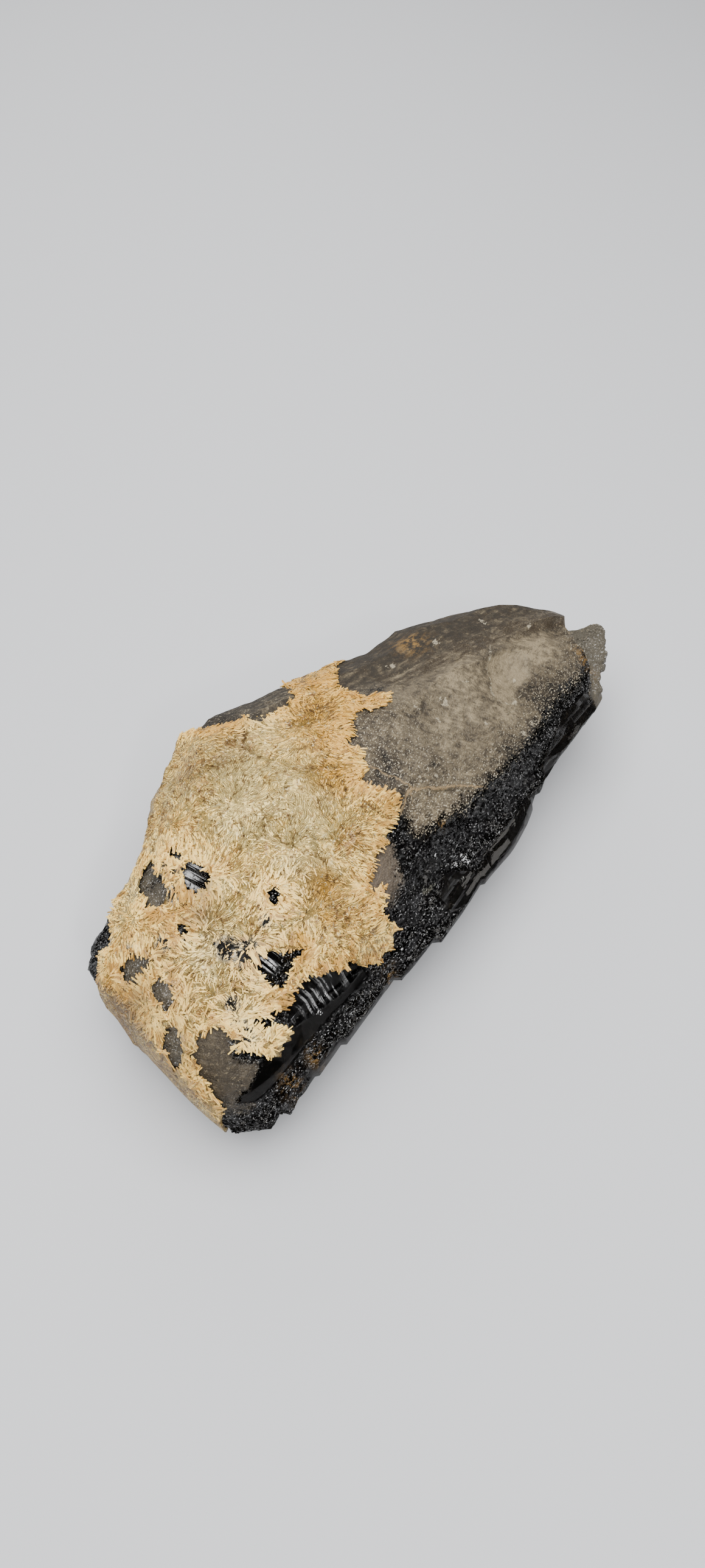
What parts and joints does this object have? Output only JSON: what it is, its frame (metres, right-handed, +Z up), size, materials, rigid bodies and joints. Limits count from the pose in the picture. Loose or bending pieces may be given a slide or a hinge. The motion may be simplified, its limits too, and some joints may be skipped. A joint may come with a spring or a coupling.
{
  "type": "smoky quartz crystal",
  "caption": "Broken smoky quartz prism lying on one face, with a crust of bladed feldspar over its upper side and a frosted, broken tip.",
  "frame": {"origin": "middle of the underside of the box around the whole specimen, on the surface that it lies on", "axes": "+X along the prism from the broken base to the broken tip, +Y across it to the far flank, +Z up"},
  "size_m": [0.1902, 0.0934, 0.066],
  "materials": {
    "smoky_quartz": "glassy",
    "feldspar": "matt"
  },
  "bodies": {
    "root": {"smoky_quartz_crystal": "smoky_quartz", "feldspar_crust": "feldspar"}
  },
  "joints": []
}
